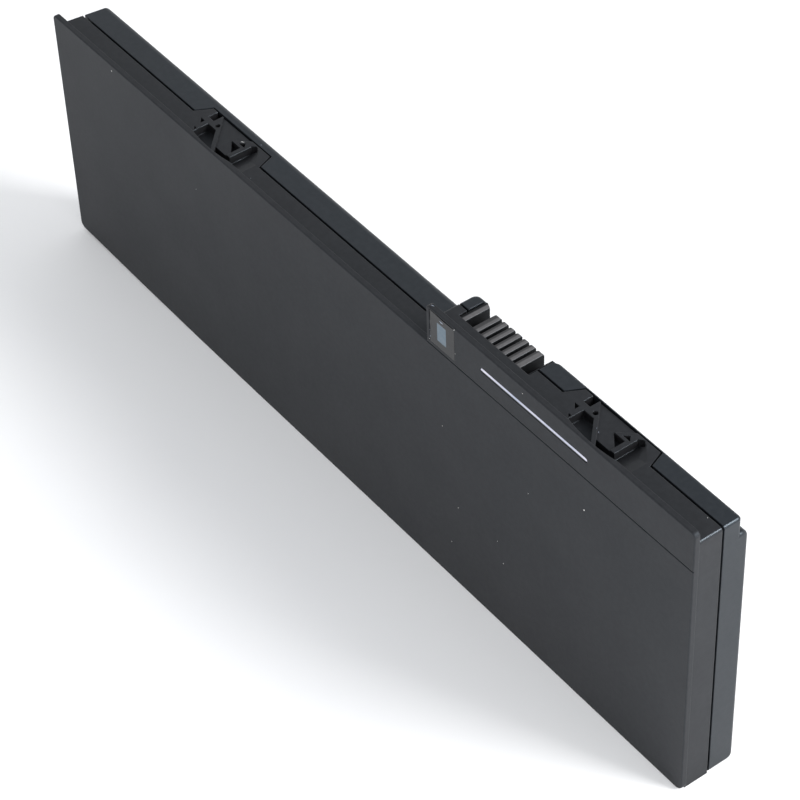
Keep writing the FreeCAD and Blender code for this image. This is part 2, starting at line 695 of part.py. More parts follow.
def build_back_shell():
    """Build the back tray, its raised block, the tongue and the notches round what lies between."""
    body = new_body("back_shell")
    sketch = new_sketch(body, "XZ_Plane", SEAM_BACK)
    add_polygon(sketch, outline(BODY_LEFT, BODY_RIGHT, "0", LEFT_TOP, THICK_TOP, THICK_START))
    add_material(body, sketch, f"body_depth - ({SEAM_BACK})")
    round_edges(body, "shoulder_round", lambda a, b: near(a.y, "body_depth") and near(b.y, "body_depth")
                and near(a.z, THICK_TOP) and near(b.z, THICK_TOP))
    lean_left_end(body, SEAM_BACK, "body_depth")
    round_edges(body, "back_round", lambda a, b: near(a.y, "body_depth") and near(b.y, "body_depth")
                and not (near(a.x, BODY_RIGHT) and near(b.x, BODY_RIGHT)))
    round_edges(body, "end_round", lambda a, b: near(a.y, "body_depth") and near(b.y, "body_depth")
                and near(a.x, BODY_RIGHT) and near(b.x, BODY_RIGHT))
    sketch = new_sketch(body, "XZ_Plane", SEAM_BACK)
    add_rectangle(sketch, RAISED_START, f"{LEFT_TOP} - wall", BODY_RIGHT, RIGHT_TOP)
    add_material(body, sketch, f"thin_depth - ({SEAM_BACK})")
    round_edges(body, "block_round", lambda a, b: near(a.x, RAISED_START) and near(b.x, RAISED_START)
                and near(a.y, "thin_depth") and near(b.y, "thin_depth"))
    round_edges(body, "end_round", lambda a, b: near(a.x, BODY_RIGHT) and near(b.x, BODY_RIGHT)
                and near(a.y, "thin_depth") and near(b.y, "thin_depth"))
    round_edges(body, "top_round", lambda a, b: near(a.z, RIGHT_TOP) and near(b.z, RIGHT_TOP)
                and max(a.y, b.y) > worth(f"{SEAM_BACK} + seam_gap"))

    # Hollow, deeper behind the cells than behind the board
    sketch = new_sketch(body, "XZ_Plane", SEAM_BACK)
    add_polygon(sketch, hollow_outline("0"))
    cut_material(body, sketch, f"thin_depth - wall - ({SEAM_BACK})")
    sketch = new_sketch(body, "XZ_Plane", "thin_depth - wall")
    add_polygon(sketch, outline(
        INNER_LEFT, INNER_RIGHT, "wall", f"{LEFT_TOP} - wall",
        f"{THICK_TOP} - shoulder_round - wall", f"{THICK_START} + wall"))
    cut_material(body, sketch, "body_depth - thin_depth")

    # Tongue that slides inside the front shell, on a band inside the wall
    sketch = new_sketch(body, "XZ_Plane", SEAM_BACK)
    add_polygon(sketch, hollow_outline("0"))
    add_polygon(sketch, hollow_outline("tongue_fit + tongue_thick"))
    add_material(body, sketch, "tongue_reach")
    sketch = new_sketch(body, "XZ_Plane", TONGUE_FRONT)
    add_polygon(sketch, hollow_outline("tongue_fit"))
    add_polygon(sketch, hollow_outline("tongue_fit + tongue_thick"))
    add_material(body, sketch, "seam_gap + tongue_reach")

    # Notches round the latch blocks and the connector comb
    for start, trim, top in ((LEFT_LATCH, "left_latch_trim", LEFT_TOP), (RIGHT_LATCH, "0", RIGHT_TOP)):
        cut_plan(body, top, "latch_depth + latch_fit",
                 latch_outline(start, trim, "latch_fit", TONGUE_FRONT))
    comb_left = f"{COMB_START} - comb_fit"
    comb_right = f"{COMB_END} + comb_fit"
    cut_plan(body, RIGHT_TOP, "comb_height + comb_fit", [
        (comb_left, TONGUE_FRONT),
        (comb_right, TONGUE_FRONT),
        (comb_right, COMB_BACK),
        (f"{comb_right} + comb_shelf", COMB_BACK),
        (f"{comb_right} + comb_shelf + comb_bevel", "thin_depth"),
        (f"{comb_right} + comb_shelf + comb_bevel", "body_depth"),
        (comb_left, "body_depth"),
    ])
    return body


def slot_centres():
    """List the comb's slots from left to right as centre and width."""
    first = f"{COMB_START} + comb_left_wall + wide_slot / 2"
    last = f"{COMB_END} - comb_right_wall - wide_slot / 2"
    narrow = [(f"{first} + wide_pitch + narrow_pitch * {step}", "narrow_slot")
              for step in range(NARROW_SLOTS)]
    return [(first, "wide_slot"), *narrow, (last, "wide_slot")]


def build_comb():
    """Build the connector housing: a block with open slots and rounded ribs."""
    body = new_body("connector_housing")
    heel_end = f"{COMB_START} + comb_heel_width"
    sketch = new_sketch(body, "XY_Plane", RIGHT_TOP)
    add_polygon(sketch, [
        (COMB_START, "comb_front"),
        (COMB_END, "comb_front"),
        (COMB_END, COMB_BACK),
        (f"{heel_end} + comb_bevel", COMB_BACK),
        (heel_end, f"{COMB_BACK} + comb_heel"),
        (COMB_START, f"{COMB_BACK} + comb_heel"),
    ])
    add_material(body, sketch, "comb_height", forward=False)
    round_edges(body, "comb_heel_round", lambda a, b: near(a.x, COMB_START) and near(b.x, COMB_START)
                and near(a.z, RIGHT_TOP) and near(b.z, RIGHT_TOP))
    sketch = new_sketch(body, "XY_Plane", RIGHT_TOP)
    for centre, width in slot_centres():
        add_rectangle(sketch, f"{centre} - {width} / 2", "slot_front",
                      f"{centre} + {width} / 2", "body_depth")
    cut_material(body, sketch, "slot_depth", forward=False)
    # The shell's upper wall lies on the block's front wall
    cut_plan(body, RIGHT_TOP, "wall", plan_rectangle(COMB_START, "comb_front", COMB_END, "slot_front"))
    sketch = new_sketch(body, "XY_Plane", SLOT_FLOOR)
    for centre, _ in slot_centres():
        add_rectangle(
            sketch, f"{centre} - tail_width / 2 - tail_fit", "contact_front - tail_fit",
            f"{centre} + tail_width / 2 + tail_fit", "contact_front + tail_metal + tail_fit")
    cut_material(body, sketch, "comb_height - slot_depth", forward=False)
    low = worth(f"{COMB_START} + comb_left_wall") - TOUCH
    high = worth(f"{COMB_END} - comb_right_wall") + TOUCH
    round_edges(body, "rib_end_round", lambda a, b: near(a.z, RIGHT_TOP) and near(b.z, RIGHT_TOP)
                and near(a.y, COMB_BACK) and near(b.y, COMB_BACK)
                and low < min(a.x, b.x) and max(a.x, b.x) < high)
    round_edges(body, "rib_round", lambda a, b: near(a.z, RIGHT_TOP) and near(b.z, RIGHT_TOP)
                and abs(a.x - b.x) < TOUCH and near(min(a.y, b.y), "slot_front")
                and low < min(a.x, b.x) and max(a.x, b.x) < high)


def build_contact(number, centre, width):
    """Build one contact: a pair of spring leaves in a slot and a tail down to the board."""
    body = new_body(f"connector_contact_{number}")
    half = f"({width} / 2 - contact_fit)"
    left, right = f"{centre} - {half}", f"{centre} + {half}"
    tip = f"{SLOT_FLOOR} + contact_height"
    base = f"{SLOT_FLOOR} + contact_metal"
    sketch = new_sketch(body, "XZ_Plane", "contact_front")
    add_polygon(sketch, [
        (left, SLOT_FLOOR), (right, SLOT_FLOOR), (right, tip), (f"{right} - contact_metal", tip),
        (f"{right} - contact_metal", base), (f"{left} + contact_metal", base),
        (f"{left} + contact_metal", tip), (left, tip),
    ])
    add_material(body, sketch, "contact_back - contact_front")
    foot = f"{COMB_LOW} - tail_drop"
    sketch = new_sketch(body, "YZ_Plane", f"{centre} - tail_width / 2")
    add_polygon(sketch, [
        (BOARD_FACE, foot),
        ("contact_front + tail_metal", foot),
        ("contact_front + tail_metal", SLOT_FLOOR),
        ("contact_front", SLOT_FLOOR),
        ("contact_front", f"{foot} + tail_metal"),
        (BOARD_FACE, f"{foot} + tail_metal"),
    ])
    add_material(body, sketch, "tail_width")


def build_indicator():
    """Build the film on the raised strip and the pale patch in its window."""
    body = new_body("indicator_film")
    sketch = new_sketch(body, "XZ_Plane", "0")
    patch_end = f"{PATCH_START} + patch_width"
    patch_low = f"{PATCH_HIGH} - patch_height"
    add_rectangle(sketch, f"{FILM_START} + film_gap", f"{FILM_HIGH} - film_height + film_fit",
                  f"{FILM_START} + film_width - film_fit", f"{FILM_HIGH} - film_gap")
    add_rectangle(sketch, PATCH_START, patch_low, patch_end, PATCH_HIGH)
    add_material(body, sketch, "film_thick")
    new_box("indicator_patch", ("patch_width", "film_thick", "patch_height"), (PATCH_START, "0", patch_low))


def build_mark():
    """Build the pale mark, which sits high in its seat in the raised strip."""
    body = new_body("pale_mark")
    sketch = new_sketch(body, "XZ_Plane", "0")
    add_mark(sketch, "mark_width / 2 - mark_fit - mark_gap / 2", f"{STRIP_TOP} - mark_drop + mark_gap / 2")
    add_material(body, sketch, "mark_thick")


def build_cell(name, start, front, outward):
    """Build one pouch cell with its sealed edge and two tabs; outward is 1 for tabs on the right."""
    body = new_body(name)
    sketch = new_sketch(body, "XZ_Plane", front)
    add_rectangle(sketch, start, CELL_LOW, f"{start} + {CELL_LENGTH}", CELL_TOP)
    add_material(body, sketch, "cell_thick")
    round_edges(body, "cell_round", lambda a, b: abs(a.y - b.y) < TOUCH and abs(a.z - b.z) < TOUCH)
    right = outward > 0
    seal = f"{start} + {CELL_LENGTH}" if right else f"{start} - seal_length"
    tab = f"{seal} + seal_length" if right else f"{seal} - tab_length"
    sketch = new_sketch(body, "XZ_Plane", f"{front} + cell_thick / 2 - seal_thick / 2")
    add_rectangle(sketch, seal, f"{CELL_LOW} + pad_margin",
                  f"{seal} + seal_length", f"{CELL_TOP} - pad_margin")
    add_material(body, sketch, "seal_thick")
    sketch = new_sketch(body, "XZ_Plane", f"{front} + cell_thick / 2 - tab_thick / 2")
    for rise in ("tab_low", "tab_high"):
        low = f"{CELL_LOW} + {rise}"
        add_rectangle(sketch, tab, low, f"{tab} + tab_length", f"{low} + tab_width")
    add_material(body, sketch, "tab_thick")


def build_pads(side, start):
    """Build the three pads that bed one pair of cells."""
    length = f"{CELL_LENGTH} - pad_margin * 2"
    height = f"{CELL_TOP} - ({CELL_LOW}) - pad_margin * 2"
    along, up = f"{start} + pad_margin", f"{CELL_LOW} + pad_margin"
    behind = f"{BACK_LAYER} + cell_thick"
    new_box(f"front_pad_{side}", (length, "front_pad", height), (along, "cover_thick", up))
    between = f"{FRONT_LAYER} + cell_thick"
    new_box(f"separator_pad_{side}", (length, "separator", height), (along, between, up))
    new_box(f"back_pad_{side}", (length, f"body_depth - wall - ({behind})", height), (along, behind, up))


def build_strap(name, tab_end, outward, low):
    """Build a strap that joins a pair of upper tabs and runs to the board."""
    body = new_body(name)
    plate = tab_end if outward > 0 else f"{tab_end} - strap_thick"
    band_low = f"{CELL_LOW} + tab_high"
    band_high = f"{band_low} + tab_width"
    top = f"{low} + strap_width"
    inner = f"{BOARD_FACE} + sense_width"
    sketch = new_sketch(body, "YZ_Plane", plate)
    add_polygon(sketch, [
        (STRAP_FRONT, band_low), (STRAP_BACK, band_low), (STRAP_BACK, band_high),
        (f"{inner} + strap_riser", band_high), (f"{inner} + strap_riser", top), (BOARD_FACE, top),
        (BOARD_FACE, low), (inner, low), (inner, band_high), (STRAP_FRONT, band_high),
    ])
    add_material(body, sketch, "strap_thick")
    sketch = new_sketch(body, "XZ_Plane", BOARD_FACE)
    add_rectangle(sketch, plate, low, f"{BOARD_START} + strap_lap", top)
    add_material(body, sketch, "strap_thick")


def build_midpoint_strap():
    """Build the folded strap between the two pairs of cells and its sense lead."""
    body = new_body("midpoint_strap")
    low = f"{CELL_LOW} + tab_low"
    sketch = new_sketch(body, "XY_Plane", low)
    left, right = LEFT_TAB_END, RIGHT_TAB_END
    add_polygon(sketch, [
        (left, STRAP_FRONT), (right, STRAP_FRONT), (right, STRAP_BACK),
        (f"{right} - strap_thick", STRAP_BACK),
        (f"{right} - strap_thick", f"{STRAP_FRONT} + strap_thick"),
        (f"{left} + strap_thick", f"{STRAP_FRONT} + strap_thick"),
        (f"{left} + strap_thick", STRAP_BACK), (left, STRAP_BACK),
    ])
    add_material(body, sketch, "tab_width")

    lead = new_body("sense_lead")
    lead_left = f"({left} + {right}) / 2 - sense_width / 2"
    level = f"{BOARD_LOW} + sense_end"
    sketch = new_sketch(lead, "XZ_Plane", f"{BOARD_FRONT} - sense_thick")
    add_polygon(sketch, [
        (lead_left, low),
        (f"{lead_left} + sense_width", low),
        (f"{lead_left} + sense_width", level),
        (f"{BOARD_START} + sense_end", level),
        (f"{BOARD_START} + sense_end", f"{level} + sense_width"),
        (lead_left, f"{level} + sense_width"),
    ])
    add_material(lead, sketch, "sense_thick")


def build_board():
    """Build the circuit board with its locating holes."""
    body = new_body("circuit_board")
    tab_top = f"{RIGHT_TOP} - wall - board_top_gap"
    sketch = new_sketch(body, "XZ_Plane", BOARD_FRONT)
    add_polygon(sketch, [
        (BOARD_START, BOARD_LOW), (BOARD_END, BOARD_LOW), (BOARD_END, BOARD_HIGH),
        (BOARD_TAB_END, BOARD_HIGH), (BOARD_TAB_END, tab_top), (BOARD_START, tab_top),
    ])
    for along, up in POSTS:
        add_circle(sketch, along, up, "pin_radius + pin_fit")
    add_material(body, sketch, "board_thick")


def board_part(name, start, rise, length, width, thick):
    """Seat a flat component on the board's back face."""
    new_box(name, (length, thick, width), (start, BOARD_FACE, f"{BOARD_LOW} + {rise}"))


def build_board_parts():
    """Build the components on the board, the thermistor bead and the thermal cut-off."""
    board_part("gauge_chip", f"{BOARD_START} + gauge_offset", "gauge_rise",
               "gauge_side", "gauge_side", "gauge_thick")
    board_part("protection_chip", f"{BOARD_START} + guard_offset", "guard_rise",
               "guard_side", "guard_side", "guard_thick")
    for step in range(SWITCHES):
        board_part(f"switch_transistor_{step + 1}", f"{BOARD_END} - switch_offset + switch_pitch * {step}",
                   "switch_rise", "switch_length", "switch_width", "switch_thick")
    board_part("current_shunt", f"{BOARD_END} - shunt_offset", "shunt_rise",
               "shunt_length", "shunt_width", "shunt_thick")
    board_part("board_fuse", f"{BOARD_END} - fuse_offset", "fuse_rise",
               "fuse_length", "fuse_width", "fuse_thick")
    for step in range(CAPACITORS):
        board_part(f"capacitor_{step + 1}", f"{BOARD_START} + capacitor_offset + capacitor_pitch * {step}",
                   "capacitor_rise", "capacitor_length", "capacitor_width", "capacitor_thick")
    new_box("thermal_cutoff", ("cutoff_length", "cutoff_thick", "strap_width"),
            (f"{RIGHT_TAB_END} + cutoff_offset", f"{BOARD_FACE} + strap_thick", CHANNEL_HIGH))
    new_box("insulating_strip", (CELL_LENGTH, "cell_thick * 2 + separator", "sheet_thick"),
            (RIGHT_CELLS, FRONT_LAYER, CELL_TOP))

    bead = new_body("thermistor_bead")
    sketch = new_sketch(bead, "YZ_Plane", f"{BOARD_START} + bead_offset")
    add_circle(sketch, f"{BOARD_FRONT} + board_thick / 2", f"{BOARD_LOW} - bead_width / 2", "bead_width / 2")
    add_material(bead, sketch, "bead_length")


def main():
    """Build every piece, check it and write it out."""
    build_front_shell()
    build_back_shell()
    build_comb()
    for number, (centre, width) in enumerate(slot_centres(), start=1):
        build_contact(number, centre, width)
    build_indicator()
    build_mark()
    for side, start, outward in (("left", LEFT_CELLS, 1), ("right", RIGHT_CELLS, -1)):
        build_cell(f"front_cell_{side}", start, FRONT_LAYER, outward)
        build_cell(f"back_cell_{side}", start, BACK_LAYER, outward)
        build_pads(side, start)
    build_strap("negative_strap", LEFT_TAB_END, 1, CHANNEL_LOW)
    build_strap("positive_strap", RIGHT_TAB_END, -1, CHANNEL_HIGH)
    build_midpoint_strap()
    build_board()
    build_board_parts()
    doc.recompute()
    for item in doc.Objects:
        assert not {"Invalid", "Error"} & set(item.State), f"{item.Name} failed: {item.State}"
    os.makedirs("parts", exist_ok=True)
    for piece in PIECES:
        shape = piece.Shape
        assert not shape.isNull() and shape.isValid(), f"{piece.Label} is not a valid solid"
        shape.exportStep(os.path.join("parts", f"{piece.Label}.step"))
        print(f"{piece.Label:24s} {len(shape.Solids)} solid, {shape.Volume:10.1f} mm3")


main()
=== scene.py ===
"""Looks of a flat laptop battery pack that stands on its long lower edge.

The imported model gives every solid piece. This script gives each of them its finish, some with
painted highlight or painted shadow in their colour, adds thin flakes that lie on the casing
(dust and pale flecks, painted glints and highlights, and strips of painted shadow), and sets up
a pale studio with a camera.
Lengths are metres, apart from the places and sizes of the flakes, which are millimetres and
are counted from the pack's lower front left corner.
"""

from __future__ import annotations

import logging
import math
import random
from dataclasses import dataclass, field
from enum import Enum

import bmesh
import bpy
from mathutils import Matrix, Vector


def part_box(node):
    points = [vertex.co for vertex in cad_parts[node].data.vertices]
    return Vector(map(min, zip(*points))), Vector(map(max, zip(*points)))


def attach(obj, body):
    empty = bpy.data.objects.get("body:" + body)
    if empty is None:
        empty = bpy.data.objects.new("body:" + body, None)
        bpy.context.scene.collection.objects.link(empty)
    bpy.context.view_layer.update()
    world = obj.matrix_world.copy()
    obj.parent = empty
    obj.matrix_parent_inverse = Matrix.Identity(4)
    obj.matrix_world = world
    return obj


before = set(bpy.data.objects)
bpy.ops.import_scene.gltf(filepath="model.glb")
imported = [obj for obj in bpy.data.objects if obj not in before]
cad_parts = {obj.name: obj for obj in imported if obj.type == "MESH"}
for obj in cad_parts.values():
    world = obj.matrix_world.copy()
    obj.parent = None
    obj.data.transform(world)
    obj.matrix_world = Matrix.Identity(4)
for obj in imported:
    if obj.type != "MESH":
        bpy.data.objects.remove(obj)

LOG = logging.getLogger("battery_pack")
MM = 0.001
BODY = "root"

Colour = tuple[float, float, float, float]
Point = tuple[float, float, float]
Range = tuple[float, float]

SCREEN_LEVELS = 255
SCREEN_TOE = 0.04045
SCREEN_TOE_SLOPE = 12.92
SCREEN_OFFSET = 0.055
SCREEN_POWER = 2.4


def screen(red: int, green: int, blue: int) -> Colour:
    """Turn a screen colour into the linear colour that shaders take.

    Args:
        red: Red, from 0 to 255.
        green: Green, from 0 to 255.
        blue: Blue, from 0 to 255.

    Returns:
        The linear colour with full opacity.
    """
    parts = []
    for level in (red, green, blue):
        share = level / SCREEN_LEVELS
        if share <= SCREEN_TOE:
            parts.append(share / SCREEN_TOE_SLOPE)
        else:
            parts.append(((share + SCREEN_OFFSET) / (1 + SCREEN_OFFSET)) ** SCREEN_POWER)
    return parts[0], parts[1], parts[2], 1.0


class Tone(Enum):
    """The colours that the pack and its studio are made of."""

    SHELL_GREY = screen(20, 19, 20)
    SHELL_WARM = screen(22, 20, 21)
    BACK_GREY = screen(16, 18, 21)
    BACK_COOL = screen(15, 18, 22)
    COMB_GREY = screen(13, 13, 14)
    COMB_DARK = screen(10, 10, 11)
    # Painted highlight on the ribs' crowns.
    RIB_CROWN_HIGHLIGHT = screen(92, 91, 92)
    WORN_PLASTIC = screen(92, 95, 99)
    FILM_GREY = screen(22, 23, 25)
    FILM_WARM = screen(27, 27, 27)
    PATCH_BLUE = screen(88, 104, 116)
    PATCH_PALE = screen(98, 110, 120)
    MARK_PALE = screen(198, 197, 210)
    MARK_BLUE = screen(164, 170, 188)
    # Painted shadow: the groove's shade under the pale mark, and the shade along the film's edges.
    SHADOW_DARK = screen(20, 20, 24)
    # Colour of dust, and of painted glints at the film's corners and on the left latch.
    DUST_AND_GLINT = screen(206, 206, 200)
    GOLD = screen(132, 112, 76)
    GOLD_DULL = screen(88, 74, 52)
    NICKEL = screen(196, 194, 186)
    NICKEL_DULL = screen(150, 150, 146)
    LAMINATE = screen(176, 180, 184)
    LAMINATE_DARK = screen(128, 132, 138)
    FOAM = screen(58, 58, 60)
    FOAM_DARK = screen(34, 34, 36)
    BOARD_GREEN = screen(26, 78, 48)
    BOARD_DARK = screen(12, 50, 32)
    CHIP_BLACK = screen(26, 26, 28)
    CHIP_GREY = screen(44, 44, 46)
    CERAMIC_TAN = screen(152, 120, 88)
    CERAMIC_BROWN = screen(112, 82, 58)
    SHEET_YELLOW = screen(196, 150, 48)
    SHEET_BROWN = screen(150, 104, 30)
    RESIN_BLACK = screen(20, 20, 22)
    RESIN_GREY = screen(48, 48, 50)
    FLOOR_WHITE = screen(250, 250, 250)
    FLOOR_SHADE = screen(244, 244, 245)


class ShaderSheet:
    """One material's shader tree, with short ways to add nodes and join them.

    The ranges are levels: where most noise lies, and where an edge starts and is full.
    """

    noise_range: Range = (0.3, 0.7)
    slide_edge: Range = (0.15, 0.42)
    any_edge: Range = (0.995, 0.80)
    bevel_samples: int = 6

    def __init__(self, name: str) -> None:
        """Start an empty material.

        Args:
            name: The material's name.
        """
        self.material = bpy.data.materials.new(name)
        self.material.use_nodes = True
        self.tree = self.material.node_tree
        self.tree.nodes.clear()
        self.shader = self.add("ShaderNodeBsdfPrincipled")
        self.join(self.shader.outputs["BSDF"], self.add("ShaderNodeOutputMaterial").inputs["Surface"])
        self.place = self.add("ShaderNodeTexCoord").outputs["Object"]

    def add(self, kind: str, **settings: object) -> bpy.types.Node:
        """Add a node.

        Args:
            kind: The node's type.
            **settings: Attributes to set on it.

        Returns:
            The new node.
        """
        node = self.tree.nodes.new(kind)
        for key, value in settings.items():
            setattr(node, key, value)
        return node

    def join(self, source: bpy.types.NodeSocket, target: bpy.types.NodeSocket) -> None:
        """Link two sockets."""
        self.tree.links.new(source, target)

    def stretched(self, stretch: Point) -> bpy.types.NodeSocket:
        """Scale the object's own coordinates by a different amount along each axis.

        Args:
            stretch: The three factors.

        Returns:
            The socket that gives the scaled place.
        """
        mapping = self.add("ShaderNodeMapping")
        mapping.inputs["Scale"].default_value = stretch
        self.join(self.place, mapping.inputs["Vector"])
        return mapping.outputs["Vector"]

    def noise(self, size: float, detail: float = 2.0,
              place: bpy.types.NodeSocket | None = None) -> bpy.types.NodeSocket:
        """Add soft noise.

        Args:
            size: How wide one blotch is, in metres.
            detail: How many finer layers lie on it.
            place: Where the noise is read, or the object's own place.

        Returns:
            The noise level, from 0 to 1.
        """
        node = self.add("ShaderNodeTexNoise")
        node.inputs["Scale"].default_value = 1 / size
        node.inputs["Detail"].default_value = detail
        self.join(place or self.place, node.inputs["Vector"])
        return node.outputs["Fac"]

    def cells(self, size: float) -> bpy.types.NodeSocket:
        """Add a pattern of cells, as an etched mould leaves.

        Args:
            size: How wide one cell is, in metres.

        Returns:
            The distance within the cell.
        """
        node = self.add("ShaderNodeTexVoronoi", feature="F1")
        node.inputs["Scale"].default_value = 1 / size
        self.join(self.place, node.inputs["Vector"])
        return node.outputs["Distance"]

    def along(self, axis: str) -> bpy.types.NodeSocket:
        """Give how far the place lies along one axis.

        Args:
            axis: X, Y or Z.

        Returns:
            The distance in metres.
        """
        node = self.add("ShaderNodeSeparateXYZ")
        self.join(self.place, node.inputs[0])
        return node.outputs[axis]

    def repeat(self, level: bpy.types.NodeSocket, start: float, pitch: float) -> bpy.types.NodeSocket:
        """Turn a length into a level that climbs from 0 to 1 once in every pitch.

        Args:
            level: The length, in metres.
            start: Where one climb starts.
            pitch: How long each climb is.

        Returns:
            The level.
        """
        node = self.add("ShaderNodeMath", operation="MULTIPLY_ADD")
        self.join(level, node.inputs[0])
        node.inputs[1].default_value = 1 / pitch
        node.inputs[2].default_value = -start / pitch
        share = self.add("ShaderNodeMath", operation="FRACT")
        self.join(node.outputs["Value"], share.inputs[0])
        return share.outputs["Value"]

    def product(self, first: bpy.types.NodeSocket, second: bpy.types.NodeSocket) -> bpy.types.NodeSocket:
        """Multiply two levels.

        Args:
            first: One level.
            second: The other level.

        Returns:
            Their product.
        """
        node = self.add("ShaderNodeMath", operation="MULTIPLY")
        self.join(first, node.inputs[0])
        self.join(second, node.inputs[1])
        return node.outputs["Value"]

    def spread(self, source: bpy.types.NodeSocket, start: float, end: float,
               low: float | bpy.types.NodeSocket = 0.0, high: float = 1.0) -> bpy.types.NodeSocket:
        """Map one range of levels onto another and hold it there.

        Args:
            source: The level to map.
            start: The level that becomes low.
            end: The level that becomes high.
            low: The first result, or a socket that gives it.
            high: The last result.

        Returns:
            The mapped level.
        """
        node = self.add("ShaderNodeMapRange", clamp=True)
        for key, value in (("From Min", start), ("From Max", end), ("To Min", low), ("To Max", high)):
            if isinstance(value, bpy.types.NodeSocket):
                self.join(value, node.inputs[key])
            else:
                node.inputs[key].default_value = value
        self.join(source, node.inputs["Value"])
        return node.outputs["Result"]

    def blend(self, level: bpy.types.NodeSocket, first: Colour | bpy.types.NodeSocket,
              second: Colour | bpy.types.NodeSocket) -> bpy.types.NodeSocket:
        """Blend two colours by a level.

        Args:
            level: 0 gives the first and 1 the second.
            first: A colour, or a socket that gives one.
            second: A colour, or a socket that gives one.

        Returns:
            The blended colour.
        """
        node = self.add("ShaderNodeMix", data_type="RGBA")
        self.join(level, node.inputs["Factor"])
        for key, colour in (("A", first), ("B", second)):
            socket = next(item for item in node.inputs if item.name == key and item.type == "RGBA")
            if isinstance(colour, bpy.types.NodeSocket):
                self.join(colour, socket)
            else:
                socket.default_value = colour
        return next(item for item in node.outputs if item.type == "RGBA")

    def rounded(self, radius: float) -> bpy.types.NodeSocket:
        """Soften the shading over sharp edges, as a moulded edge catches light.

        Args:
            radius: The edge's radius in metres.

        Returns:
            The softened normal.
        """
        node = self.add("ShaderNodeBevel", samples=self.bevel_samples)
        node.inputs["Radius"].default_value = radius
        return node.outputs["Normal"]

    def sliding_edges(self, normal: bpy.types.NodeSocket) -> bpy.types.NodeSocket:
        """Find the edges between a top and a right-hand wall, where the pack slides past the laptop.

        Args:
            normal: The softened normal.

        Returns:
            A level that is 1 on such an edge and 0 away from it.
        """
        node = self.add("ShaderNodeSeparateXYZ")
        self.join(normal, node.inputs[0])
        return self.spread(self.product(node.outputs["X"], node.outputs["Z"]), *self.slide_edge)

    def edges(self, normal: bpy.types.NodeSocket) -> bpy.types.NodeSocket:
        """Find the places near sharp edges.

        Args:
            normal: The softened normal.

        Returns:
            A level that is 1 at an edge and 0 away from it.
        """
        flat = self.add("ShaderNodeNewGeometry").outputs["True Normal"]
        node = self.add("ShaderNodeVectorMath", operation="DOT_PRODUCT")
        self.join(normal, node.inputs[0])
        self.join(flat, node.inputs[1])
        return self.spread(node.outputs["Value"], *self.any_edge)

    def bump(self, height: bpy.types.NodeSocket, depth: float, strength: float,
             normal: bpy.types.NodeSocket | None = None) -> bpy.types.NodeSocket:
        """Raise and sink the surface by a level.

        Args:
            height: The level.
            depth: How far the full level stands out, in metres.
            strength: The share of it that shows.
            normal: The normal that it starts from.

        Returns:
            The new normal.
        """
        node = self.add("ShaderNodeBump")
        node.inputs["Strength"].default_value = strength
        node.inputs["Distance"].default_value = depth
        self.join(height, node.inputs["Height"])
        if normal is not None:
            self.join(normal, node.inputs["Normal"])
        return node.outputs["Normal"]

    def fix(self, **values: float | Colour) -> None:
        """Set sockets of the shader that are the same all over, by their names in lower case."""
        for key, value in values.items():
            self.shader.inputs[key.replace("_", " ").title().replace("Ior", "IOR")].default_value = value

    def drive(self, **sources: bpy.types.NodeSocket) -> None:
        """Join sockets of the shader to what varies over the surface."""
        for key, source in sources.items():
            self.join(source, self.shader.inputs[key.replace("_", " ").title()])


